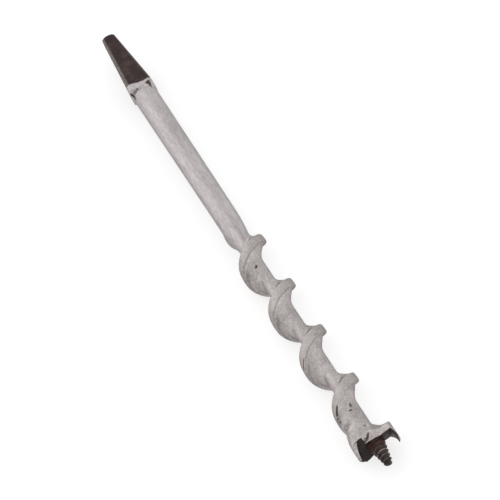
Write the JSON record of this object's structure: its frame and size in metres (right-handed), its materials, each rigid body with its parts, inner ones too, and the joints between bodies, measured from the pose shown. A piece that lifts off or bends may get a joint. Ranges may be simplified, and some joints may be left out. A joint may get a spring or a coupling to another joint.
{
  "type": "auger bit",
  "caption": "Solid-centre auger bit for a hand brace: square tapered tang, round shank, helical flight, lipped and spurred head, tapered lead screw.",
  "frame": {"origin": "on the axis of the bit, where the flats of the tang end at the shoulder", "axes": "+X along the axis towards the tip of the lead screw; +Z and +Y square to the flats of the tang"},
  "size_m": [0.2149, 0.0142, 0.0136],
  "materials": {
    "scaled_steel": "dark forge scale on the flats, rubbed light at the corners",
    "polished_steel": "satin polish with faint mottling",
    "ground_steel": "ground and lightly textured",
    "dark_steel": "blackened, with a little brown rust"
  },
  "bodies": {
    "root": {"tang": "scaled_steel", "tang_shoulder": "polished_steel", "shank": "polished_steel", "twist_root": "polished_steel", "twist": "ground_steel", "head_core": "dark_steel", "main_lip": "ground_steel", "second_lip": "ground_steel", "main_spur": "dark_steel", "second_spur": "dark_steel", "lead_screw": "dark_steel"}
  },
  "joints": []
}
